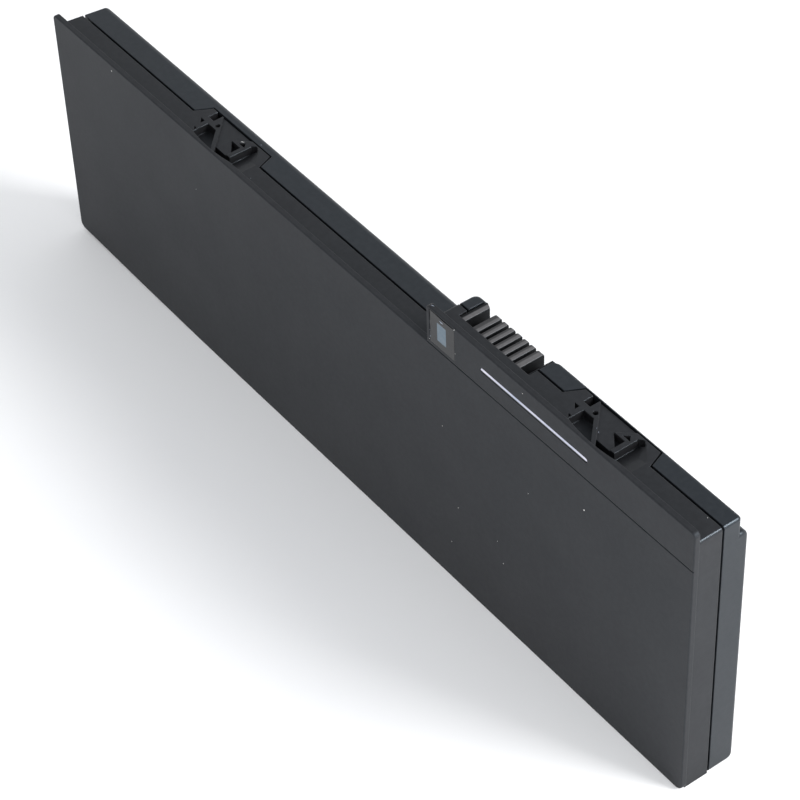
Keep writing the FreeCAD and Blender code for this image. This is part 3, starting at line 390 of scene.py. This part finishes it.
@dataclass(frozen=True)
class MouldedPlastic:
    """Matt injection-moulded plastic with an etched grain and edges that sliding has polished."""

    name: str
    tone: Tone
    drift: Tone
    roughness: float = 0.45
    roughness_drift: float = 0.02
    polished: float = 0.26
    specular: float = 0.41
    tint: Colour = (0.76, 0.88, 1.0, 1.0)
    grain: float = 0.22 * MM
    grain_depth: float = 0.012 * MM
    edge_radius: float = 0.3 * MM
    wear: float = 0.1
    slide_reach: float = 5.9 * MM
    slide_fade: float = 0.3 * MM
    wear_patch: float = 2.5 * MM
    wear_range: Range = (0.3, 0.6)
    least_wear: float = 0.4
    gloss_patch: float = 18 * MM
    cloud: float = 45 * MM
    mottle: float = 1.4 * MM
    mottle_range: Range = (0.35, 0.75)
    mottle_share: float = 0.04
    grain_strength: float = 0.6

    def make(self) -> bpy.types.Material:
        """Build the material.

        Returns:
            The finished material.
        """
        sheet = ShaderSheet(self.name)
        normal = sheet.rounded(self.edge_radius)
        broken = sheet.spread(sheet.noise(self.wear_patch, detail=4.0), *self.wear_range,
                              self.least_wear, 1.0)
        edge = sheet.product(sheet.edges(normal), broken)
        worn = sheet.spread(edge, 0.0, 1.0, 0.0, self.wear)
        colour = sheet.blend(worn, self.colour(sheet), Tone.WORN_PLASTIC.value)
        gloss = sheet.spread(sheet.noise(self.gloss_patch), *sheet.noise_range,
                             self.roughness - self.roughness_drift, self.roughness + self.roughness_drift)
        slid = sheet.product(sheet.sliding_edges(normal), self.slide_zone(sheet))
        gloss = sheet.spread(slid, 0.0, 1.0, gloss, self.polished)
        grain = sheet.bump(sheet.cells(self.grain), self.grain_depth, self.grain_strength, normal)
        sheet.fix(specular_ior_level=self.specular, specular_tint=self.tint)
        sheet.drive(base_color=colour, roughness=gloss, normal=grain)
        return sheet.material

    def slide_zone(self, sheet: ShaderSheet) -> bpy.types.NodeSocket:
        """Find the middle of the pack's depth, which alone slides: not the lip or the thick back.

        Args:
            sheet: The material that takes it.

        Returns:
            A level that is 1 in the middle and 0 in front of it and behind it.
        """
        depth = sheet.along("Y")
        behind_lip = sheet.spread(depth, -self.slide_reach - self.slide_fade, -self.slide_reach)
        before_back = sheet.spread(depth, self.slide_reach + self.slide_fade, self.slide_reach)
        return sheet.product(behind_lip, before_back)

    def colour(self, sheet: ShaderSheet) -> bpy.types.NodeSocket:
        """Mix the plastic's own colour, away from its edges.

        Args:
            sheet: The material that takes it.

        Returns:
            The mixed colour.
        """
        cloud = sheet.spread(sheet.noise(self.cloud, detail=3.0), *sheet.noise_range)
        colour = sheet.blend(cloud, self.tone.value, self.drift.value)
        mottle = sheet.spread(sheet.noise(self.mottle), *self.mottle_range, 0.0, self.mottle_share)
        return sheet.blend(mottle, colour, Tone.WORN_PLASTIC.value)


@dataclass(frozen=True)
class RibbedPlastic(MouldedPlastic):
    """Moulded plastic whose ribs carry a painted highlight along their crowns.

    The right-hand half of each crown is palest, from a little beyond the rib's middle, as painted
    highlight, and the left-hand half is less pale, as painted shade. The ribs' places follow two
    contacts, which stand in the slots on either side of one rib.
    """

    crown_highlight: Tone = Tone.RIB_CROWN_HIGHLIGHT
    crown_depth: float = 0.14 * MM
    left_margin: float = 1.0 * MM
    right_margin: float = 1.3 * MM
    contacts: tuple[str, str] = ("connector_contact_2", "connector_contact_3")
    middle_offset: float = 0.05 * MM
    shaded_share: float = 0.4
    shade_fade: float = 0.1
    margin_fade: float = 0.1 * MM
    streak: float = 0.5 * MM
    streak_range: Range = (0.2, 0.8)
    least_highlight: float = 0.75

    def colour(self, sheet: ShaderSheet) -> bpy.types.NodeSocket:
        """Mix the plastic's own colour with a painted highlight over the ribs' crowns.

        Args:
            sheet: The material that takes it.

        Returns:
            The mixed colour.
        """
        low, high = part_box("connector_housing")
        along, up = sheet.along("X"), sheet.along("Z")
        start, end = low.x + self.left_margin, high.x - self.right_margin
        inside = sheet.product(sheet.spread(along, start, start + self.margin_fade),
                               sheet.spread(along, end, end - self.margin_fade))
        crest = sheet.spread(up, high.z - self.crown_depth, high.z - self.crown_depth / 2)
        left, right = (sum(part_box(contact), Vector()).x / 2 for contact in self.contacts)
        across = sheet.repeat(along, left + self.middle_offset, right - left)
        # Painted highlight on the right-hand part of each crown; the left-hand part keeps less of it, as
        # painted shade.
        lit_share = sheet.spread(across, 0.5 - self.shade_fade, 0.5, self.shaded_share, 1.0)
        streaks = sheet.spread(sheet.noise(self.streak, detail=3.0), *self.streak_range,
                               self.least_highlight, 1.0)
        share = sheet.product(sheet.product(inside, crest), sheet.product(lit_share, streaks))
        return sheet.blend(share, super().colour(sheet), self.crown_highlight.value)


@dataclass(frozen=True)
class BrushedMetal:
    """Thin sheet metal with rolling lines and dull patches."""

    name: str
    tone: Tone
    dull: Tone
    roughness: float = 0.3
    line: float = 0.15 * MM
    line_depth: float = 0.01 * MM
    line_strength: float = 0.5
    line_stretch: Point = (0.05, 1.0, 1.0)
    dull_patch: float = 6 * MM
    dull_range: Range = (0.35, 0.7)
    dull_roughness: float = 0.2
    edge_radius: float = 0.05 * MM

    def make(self) -> bpy.types.Material:
        """Build the material.

        Returns:
            The finished material.
        """
        sheet = ShaderSheet(self.name)
        patches = sheet.spread(sheet.noise(self.dull_patch, detail=3.0), *self.dull_range)
        lines = sheet.noise(self.line, place=sheet.stretched(self.line_stretch))
        gloss = sheet.spread(patches, 0.0, 1.0, self.roughness, self.roughness + self.dull_roughness)
        sheet.fix(metallic=1.0)
        sheet.drive(base_color=sheet.blend(patches, self.tone.value, self.dull.value), roughness=gloss,
                    normal=sheet.bump(lines, self.line_depth, self.line_strength,
                                      sheet.rounded(self.edge_radius)))
        return sheet.material


@dataclass(frozen=True)
class MottledSolid:
    """Any plain solid whose colour wanders between two tones and whose face is a little uneven."""

    name: str
    tone: Tone
    drift: Tone
    blotch: float
    roughness: float
    grain: float
    grain_depth: float
    specular: float = 0.5
    coat: float = 0.0
    metallic: float = 0.0
    gloss_drift: float = 0.05
    blotch_range: Range = (0.35, 0.65)
    grain_strength: float = 0.6
    edge_radius: float = 0.06 * MM

    def make(self) -> bpy.types.Material:
        """Build the material.

        Returns:
            The finished material.
        """
        sheet = ShaderSheet(self.name)
        uneven = sheet.noise(self.grain, detail=3.0)
        gloss = sheet.spread(uneven, *sheet.noise_range,
                             self.roughness - self.gloss_drift, self.roughness + self.gloss_drift)
        sheet.fix(specular_ior_level=self.specular, coat_weight=self.coat, metallic=self.metallic)
        sheet.drive(base_color=self.colour(sheet), roughness=gloss,
                    normal=sheet.bump(uneven, self.grain_depth, self.grain_strength,
                                      sheet.rounded(self.edge_radius)))
        return sheet.material

    def colour(self, sheet: ShaderSheet) -> bpy.types.NodeSocket:
        """Mix the two tones in soft blotches.

        Args:
            sheet: The material that takes the colour.

        Returns:
            The mixed colour.
        """
        cloud = sheet.spread(sheet.noise(self.blotch, detail=3.0), *self.blotch_range)
        return sheet.blend(cloud, self.tone.value, self.drift.value)


@dataclass(frozen=True)
class InlaidPaint(MottledSolid):
    """Pale paint in a groove, with a painted shadow along its lower side where the groove's shade falls.
    """

    groove_shadow: Tone = Tone.SHADOW_DARK
    shadow_width: float = 0.34 * MM
    shadow_fade: float = 0.1 * MM

    def colour(self, sheet: ShaderSheet) -> bpy.types.NodeSocket:
        """Mix the paint's tones, with a painted shadow in a dark band along the lower side.

        Args:
            sheet: The material that takes the colour.

        Returns:
            The mixed colour.
        """
        low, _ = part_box("pale_mark")
        up = sheet.along("Z")
        # Painted shadow: the lowest band of the mark takes the dark tone, as the groove's shade.
        unshadowed = sheet.spread(up, low.z + self.shadow_width, low.z + self.shadow_width + self.shadow_fade)
        return sheet.blend(unshadowed, self.groove_shadow.value, super().colour(sheet))


@dataclass(frozen=True)
class PrintedBoard:
    """Solder mask over copper fields, with a narrow gap between one field and the next."""

    name: str
    mask: Tone
    gap: Tone
    field_width: float = 4.4 * MM
    gap_range: Range = (0.05, 0.08)
    copper_depth: float = 0.03 * MM
    copper_strength: float = 0.7
    speckle: float = 0.8 * MM
    roughness: Range = (0.3, 0.4)
    coat: float = 0.4
    coat_roughness: float = 0.2

    def make(self) -> bpy.types.Material:
        """Build the material.

        Returns:
            The finished material.
        """
        sheet = ShaderSheet(self.name)
        node = sheet.add("ShaderNodeTexVoronoi", distance="MANHATTAN", feature="DISTANCE_TO_EDGE")
        node.inputs["Scale"].default_value = 1 / self.field_width
        sheet.join(sheet.place, node.inputs["Vector"])
        copper = sheet.spread(node.outputs["Distance"], *self.gap_range)
        sheet.fix(coat_weight=self.coat, coat_roughness=self.coat_roughness)
        sheet.drive(base_color=sheet.blend(copper, self.gap.value, self.mask.value),
                    roughness=sheet.spread(sheet.noise(self.speckle), *sheet.noise_range, *self.roughness),
                    normal=sheet.bump(copper, self.copper_depth, self.copper_strength))
        return sheet.material


def dress(node: str, material: bpy.types.Material) -> None:
    """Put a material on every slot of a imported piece.

    Args:
        node: The piece's name.
        material: Its finish.
    """
    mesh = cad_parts[node].data
    if not mesh.materials:
        mesh.materials.append(material)
    for slot in range(len(mesh.materials)):
        mesh.materials[slot] = material
    LOG.info("%s wears %s", node, material.name)


def corner_point(along: float, back: float, up: float) -> Vector:
    """Turn a place counted from the pack's lower front left corner into the frame's own.

    Args:
        along: Millimetres along the pack.
        back: Millimetres in from the cover.
        up: Millimetres up.

    Returns:
        The place in metres.
    """
    low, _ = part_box("front_shell")
    return low + Vector((along, back, up)) * MM


@dataclass
class Casing:
    """The two halves of the casing."""

    cover: MouldedPlastic = MouldedPlastic("cover_plastic", Tone.SHELL_GREY, Tone.SHELL_WARM,
                                           roughness=0.55, specular=0.35)
    back: MouldedPlastic = MouldedPlastic("casing_plastic", Tone.BACK_GREY, Tone.BACK_COOL)

    def build(self) -> None:
        """Dress both shells."""
        dress("front_shell", self.cover.make())
        dress("back_shell", self.back.make())


@dataclass
class Connector:
    """The comb of slots and the contacts in it."""

    contacts: int = 8
    comb: RibbedPlastic = RibbedPlastic("comb_plastic", Tone.COMB_GREY, Tone.COMB_DARK, roughness=0.6,
                                        specular=0.12, grain=0.12 * MM, edge_radius=0.12 * MM)
    contact: BrushedMetal = BrushedMetal("contact_metal", Tone.GOLD, Tone.GOLD_DULL)

    def build(self) -> None:
        """Dress the housing and its contacts."""
        dress("connector_housing", self.comb.make())
        metal = self.contact.make()
        for number in range(1, self.contacts + 1):
            dress(f"connector_contact_{number}", metal)


@dataclass
class StripMarks:
    """The film with its patch, and the pale mark, on the raised strip."""

    film: MottledSolid = MottledSolid("indicator_film", Tone.FILM_GREY, Tone.FILM_WARM,
                                      blotch=5 * MM, roughness=0.32, grain=1.2 * MM,
                                      grain_depth=0.01 * MM, specular=0.35, coat=0.1)
    patch: MottledSolid = MottledSolid("indicator_patch", Tone.PATCH_BLUE, Tone.PATCH_PALE,
                                       blotch=2 * MM, roughness=0.5, grain=0.6 * MM,
                                       grain_depth=0.005 * MM, specular=0.3, coat=0.05)
    mark: InlaidPaint = InlaidPaint("pale_mark", Tone.MARK_PALE, Tone.MARK_BLUE, blotch=9 * MM,
                                    roughness=0.5, grain=0.4 * MM, grain_depth=0.01 * MM)

    def build(self) -> None:
        """Dress the three pieces."""
        dress("indicator_film", self.film.make())
        dress("indicator_patch", self.patch.make())
        dress("pale_mark", self.mark.make())


@dataclass
class PowerCore:
    """The cells, their padding and the straps, all inside the casing."""

    laminate: MottledSolid = MottledSolid("cell_pouch", Tone.LAMINATE, Tone.LAMINATE_DARK,
                                          blotch=14 * MM, roughness=0.35, grain=3 * MM,
                                          grain_depth=0.05 * MM, metallic=0.8)
    foam: MottledSolid = MottledSolid("pad_foam", Tone.FOAM, Tone.FOAM_DARK, blotch=4 * MM,
                                      roughness=0.9, grain=0.5 * MM, grain_depth=0.15 * MM,
                                      specular=0.2)
    nickel: BrushedMetal = BrushedMetal("nickel", Tone.NICKEL, Tone.NICKEL_DULL)
    insulator: MottledSolid = MottledSolid("insulator", Tone.SHEET_YELLOW, Tone.SHEET_BROWN,
                                           blotch=10 * MM, roughness=0.4, grain=2 * MM,
                                           grain_depth=0.02 * MM)

    def build(self) -> None:
        """Dress every cell, pad, strap and the insulating sheet."""
        laminate, foam, nickel = self.laminate.make(), self.foam.make(), self.nickel.make()
        for side in ("left", "right"):
            for layer in ("front", "back"):
                dress(f"{layer}_cell_{side}", laminate)
            for layer in ("front", "separator", "back"):
                dress(f"{layer}_pad_{side}", foam)
        for strap in ("negative_strap", "positive_strap", "midpoint_strap", "sense_lead"):
            dress(strap, nickel)
        dress("insulating_strip", self.insulator.make())


@dataclass
class ControlBoard:
    """The circuit board and what is soldered to it."""

    capacitors: int = 4
    switches: int = 2
    board: PrintedBoard = PrintedBoard("board", Tone.BOARD_GREEN, Tone.BOARD_DARK)
    chip: MottledSolid = MottledSolid("chip_plastic", Tone.CHIP_BLACK, Tone.CHIP_GREY, blotch=2 * MM,
                                      roughness=0.55, grain=0.2 * MM, grain_depth=0.02 * MM)
    ceramic: MottledSolid = MottledSolid("ceramic", Tone.CERAMIC_TAN, Tone.CERAMIC_BROWN, blotch=1 * MM,
                                         roughness=0.4, grain=0.2 * MM, grain_depth=0.01 * MM)
    resin: MottledSolid = MottledSolid("bead_resin", Tone.RESIN_BLACK, Tone.RESIN_GREY, blotch=1 * MM,
                                       roughness=0.3, grain=0.4 * MM, grain_depth=0.02 * MM, coat=0.4)

    def build(self) -> None:
        """Dress the board and its components."""
        dress("circuit_board", self.board.make())
        chip, ceramic = self.chip.make(), self.ceramic.make()
        switches = [f"switch_transistor_{number}" for number in range(1, self.switches + 1)]
        for node in ("gauge_chip", "protection_chip", "thermal_cutoff", *switches):
            dress(node, chip)
        capacitors = [f"capacitor_{number}" for number in range(1, self.capacitors + 1)]
        for node in ("current_shunt", "board_fuse", *capacitors):
            dress(node, ceramic)
        dress("thermistor_bead", self.resin.make())


class Facing(Enum):
    """Which way a surface looks, as its outward direction."""

    COVER = (0.0, -1.0, 0.0)
    TOP = (0.0, 0.0, 1.0)


@dataclass(frozen=True)
class Speck:
    """One flake: its place in millimetres from the pack's corner, its face, its size and its turn."""

    along: float
    back: float
    up: float
    facing: Facing
    width: float
    length: float = 0.0
    turn: float = 0.0


@dataclass
class Flakes:
    """Thin flakes that lie on the pack as one piece: dust, pale flecks, painted highlights or painted
    shadow.
    """

    name: str
    specks: tuple[Speck, ...]
    finish: MottledSolid
    material_slot: str = "pale_mark"
    thickness: float = 0.03 * MM
    corners: int = 8
    seed: int = 7
    stagger: float = 0.25
    reach: Range = (0.75, 1.1)
    crown_share: float = 0.6

    def build(self) -> bpy.types.Object:
        """Build the flakes as one piece.

        Returns:
            The piece.
        """
        draw = random.Random(self.seed)
        mesh = bmesh.new()
        for speck in self.specks:
            self.add_speck(mesh, speck, draw)
        data = bpy.data.meshes.new(self.name)
        mesh.to_mesh(data)
        mesh.free()
        piece = bpy.data.objects.new(self.name, data)
        bpy.context.scene.collection.objects.link(piece)
        data.materials.append(self.finish.make())
        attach(piece, BODY)
        LOG.info("%s has %d flakes", self.name, len(self.specks))
        return piece

    def add_speck(self, mesh: bmesh.types.BMesh, speck: Speck, draw: random.Random) -> None:
        """Add one uneven flake.

        Args:
            mesh: The mesh that takes it.
            speck: Where it lies and how large it is.
            draw: The source of its uneven outline.
        """
        face = Vector(speck.facing.value).to_track_quat("Z", "Y").to_matrix()
        spin = face @ Matrix.Rotation(math.radians(speck.turn), 3, "Z")
        centre = corner_point(speck.along, speck.back, speck.up)
        halves = Vector(((speck.length or speck.width) / 2, speck.width / 2)) * MM
        outline = []
        for step in range(self.corners):
            angle = 2 * math.pi * (step + draw.uniform(-self.stagger, self.stagger)) / self.corners
            reach = draw.uniform(*self.reach)
            outline.append(Vector((math.cos(angle) * halves.x, math.sin(angle) * halves.y, 0)) * reach)
        low = [mesh.verts.new(centre + spin @ point) for point in outline]
        lift = Vector((0, 0, self.thickness))
        high = [mesh.verts.new(centre + spin @ (point * self.crown_share + lift)) for point in outline]
        mesh.faces.new(list(reversed(low)))
        mesh.faces.new(high)
        for step in range(self.corners):
            following = (step + 1) % self.corners
            mesh.faces.new((low[step], low[following], high[following], high[step]))


@dataclass
class SurfaceMarks:
    """What lies on the pack: dust with painted glints, pale flecks with painted highlights, and painted
    shadow along the film.
    """

    dust_and_glints: Flakes = field(default_factory=lambda: Flakes("dust_and_glint_specks", (
        Speck(28.5, 0.0, 73.0, Facing.COVER, 0.40),
        Speck(65.5, 0.0, 57.0, Facing.COVER, 0.22),
        Speck(169.0, 0.0, 51.0, Facing.COVER, 0.28),
        Speck(201.5, 0.0, 54.0, Facing.COVER, 0.26),
        Speck(221.5, 0.0, 64.7, Facing.COVER, 0.42),
        Speck(174.5, 0.0, 27.4, Facing.COVER, 0.30),
        Speck(189.8, 0.0, 28.3, Facing.COVER, 0.24),
        Speck(192.0, 0.0, 22.3, Facing.COVER, 0.30),
        Speck(171.5, 0.0, 13.0, Facing.COVER, 0.24),
        Speck(199.5, 0.0, 84.5, Facing.COVER, 0.26),
        # Painted highlights: glints at the film's corners.
        Speck(174.5, 0.0, 85.9, Facing.COVER, 0.20, 0.50, 60.0),
        Speck(174.7, 0.0, 78.6, Facing.COVER, 0.12, 0.40, 60.0),
        Speck(164.9, 0.0, 76.4, Facing.COVER, 0.16, 0.36, 30.0),
        Speck(253.1, 8.0, 82.8, Facing.TOP, 0.12, 0.30, -20.0),
        # Painted highlight: a glint on the left latch.
        Speck(72.1, 11.0, 71.1, Facing.TOP, 0.14, 1.10, 45.0),
    ), MottledSolid("dust_and_glints", Tone.DUST_AND_GLINT, Tone.FLOOR_WHITE, blotch=0.3 * MM, roughness=0.8,
                    grain=0.1 * MM, grain_depth=0.01 * MM)))
    flecks_and_highlights: Flakes = field(default_factory=lambda: Flakes("pale_flecks_and_highlights", (
        # Painted highlights: a bright spot on the film above the patch, and one on the strip's top-left
        # corner.
        Speck(169.6, 0.0, 84.7, Facing.COVER, 0.46, 1.90, 0.0),
        Speck(165.4, 0.9, 86.5, Facing.TOP, 0.26, 1.00, 20.0),
        # Pale flecks by the film's left edge, on the right latch and on the left top.
        Speck(165.3, 0.0, 77.5, Facing.COVER, 0.22, 0.50, 70.0),
        Speck(165.2, 0.0, 79.4, Facing.COVER, 0.16, 0.40, 80.0),
        Speck(217.1, 7.0, 82.8, Facing.TOP, 0.14, 0.40, -50.0),
        Speck(218.3, 6.5, 82.8, Facing.TOP, 0.16, 0.50, -40.0),
        Speck(76.2, 14.0, 71.1, Facing.TOP, 0.14, 0.50, -30.0),
        Speck(85.2, 4.4, 71.1, Facing.TOP, 0.12, 0.40, 20.0),
    ), MottledSolid("pale_fleck_and_highlight", Tone.PATCH_PALE, Tone.MARK_BLUE, blotch=0.4 * MM,
                    roughness=0.45, grain=0.1 * MM, grain_depth=0.01 * MM)))
    film_shadow_strips: Flakes = field(default_factory=lambda: Flakes("film_shadow_strips", (
        # Painted shadow: dark strips along the film's top and left edges, where shade falls.
        Speck(170.9, 0.0, 85.76, Facing.COVER, 0.36, 8.20, 0.0),
        Speck(165.3, 0.0, 83.9, Facing.COVER, 0.30, 3.80, 88.0),
        Speck(165.25, 0.0, 80.2, Facing.COVER, 0.22, 3.20, 91.0),
    ), MottledSolid("painted_film_shadow", Tone.SHADOW_DARK, Tone.CHIP_BLACK, blotch=0.5 * MM,
                    roughness=0.7, grain=0.1 * MM, grain_depth=0.01 * MM, specular=0.05)))

    def build(self) -> None:
        """Build the three sets of flakes."""
        for flakes in (self.dust_and_glints, self.flecks_and_highlights, self.film_shadow_strips):
            flakes.build()


@dataclass(frozen=True)
class SoftBox:
    """A large square lamp that points at the pack."""

    name: str
    position: Point
    size: float
    power: float
    colour: tuple[float, float, float] = (1.0, 1.0, 1.0)
    target: Point = (0.0, 0.0, 0.04)

    def place(self) -> None:
        """Hang the lamp."""
        data = bpy.data.lights.new(self.name, "AREA")
        data.shape = "SQUARE"
        data.size = self.size
        data.energy = self.power
        data.color = self.colour
        lamp = bpy.data.objects.new(self.name, data)
        bpy.context.scene.collection.objects.link(lamp)
        lamp.location = self.position
        aim = Vector(self.target) - Vector(self.position)
        lamp.rotation_euler = aim.to_track_quat("-Z", "Y").to_euler()
        LOG.info("%s gives %.2f W", self.name, self.power)


@dataclass
class Studio:
    """A pale floor, soft light from all round, and lamps that shape the edges.

    The room's light goes from its level colour to its overhead one between two heights. Each
    height is the sine of the angle above the horizon.
    """

    floor_size: float = 6.0
    level_height: float = 0.45
    level_light: Colour = (1.0, 1.0, 1.0, 1.0)
    overhead_height: float = 0.95
    overhead_light: Colour = (0.53, 0.56, 0.60, 1.0)
    floor: MottledSolid = MottledSolid("studio_floor", Tone.FLOOR_WHITE, Tone.FLOOR_SHADE, blotch=0.4,
                                       roughness=0.8, grain=0.01, grain_depth=0.0001, specular=0.1)
    lamps: tuple[SoftBox, ...] = (
        SoftBox("end_softbox", (1.1, 0.15, 0.15), size=0.6, power=4.0),
        SoftBox("rim_softbox", (0.83, 0.50, 0.75), size=0.45, power=13.0),
        SoftBox("cover_softbox", (0.55, -0.60, 0.40), size=0.5, power=3.0, target=(0.05, -0.1, 0.0)),
    )

    def build(self) -> None:
        """Lay the floor, light the room and hang the lamps."""
        bpy.context.scene.view_settings.view_transform = "Standard"
        half = self.floor_size / 2
        data = bpy.data.meshes.new("studio_floor")
        corners = [(-half, -half, 0), (half, -half, 0), (half, half, 0), (-half, half, 0)]
        data.from_pydata(corners, [], [(0, 1, 2, 3)])
        data.materials.append(self.floor.make())
        floor = bpy.data.objects.new("studio_floor", data)
        bpy.context.scene.collection.objects.link(floor)
        self.light_room()
        for lamp in self.lamps:
            lamp.place()

    def light_room(self) -> None:
        """Light the room from all round, with less and cooler light from straight above."""
        world = bpy.data.worlds.new("studio_world")
        world.use_nodes = True
        tree = world.node_tree
        split = tree.nodes.new("ShaderNodeSeparateXYZ")
        tree.links.new(tree.nodes.new("ShaderNodeTexCoord").outputs["Generated"], split.inputs[0])
        fade = tree.nodes.new("ShaderNodeValToRGB")
        for stop, (height, light) in zip(fade.color_ramp.elements, (
                (self.level_height, self.level_light), (self.overhead_height, self.overhead_light))):
            stop.position = height
            stop.color = light
        tree.links.new(split.outputs["Z"], fade.inputs["Fac"])
        tree.links.new(fade.outputs["Color"], tree.nodes["Background"].inputs["Color"])
        bpy.context.scene.world = world


@dataclass
class Viewpoint:
    """The camera, held where the photograph was taken from."""

    position: Point = (0.444328, -0.306886, 0.544325)
    azimuth: float = 54.6163
    elevation: float = 43.9455
    roll: float = -2.386
    lens: float = 133.262
    sensor: float = 36.0
    shift: tuple[float, float] = (-0.0023, 0.0008)
    nearest: float = 0.01

    def build(self) -> None:
        """Set the camera up and make it the scene's own."""
        turn, tilt, roll = (math.radians(angle) for angle in (self.azimuth, self.elevation, self.roll))
        forward = Vector((-math.sin(turn) * math.cos(tilt), math.cos(turn) * math.cos(tilt),
                          -math.sin(tilt)))
        level = forward.cross(Vector((0, 0, 1))).normalized()
        upright = level.cross(forward)
        right = level * math.cos(roll) + upright * math.sin(roll)
        up = right.cross(forward)
        axes = Matrix((right, up, -forward)).transposed()
        data = bpy.data.cameras.new("photo_camera")
        data.lens = self.lens
        data.sensor_width = self.sensor
        data.shift_x, data.shift_y = self.shift
        data.clip_start = self.nearest
        camera = bpy.data.objects.new("photo_camera", data)
        bpy.context.scene.collection.objects.link(camera)
        camera.matrix_world = Matrix.Translation(self.position) @ axes.to_4x4()
        bpy.context.scene.camera = camera
        LOG.info("camera stands at %s", self.position)


def main() -> None:
    """Build the camera, the finishes, the flakes and the studio."""
    logging.basicConfig(level=logging.INFO, format="%(name)s: %(message)s")
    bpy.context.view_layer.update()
    Viewpoint().build()
    Casing().build()
    Connector().build()
    StripMarks().build()
    PowerCore().build()
    ControlBoard().build()
    SurfaceMarks().build()
    Studio().build()


if __name__ == "__main__":
    main()
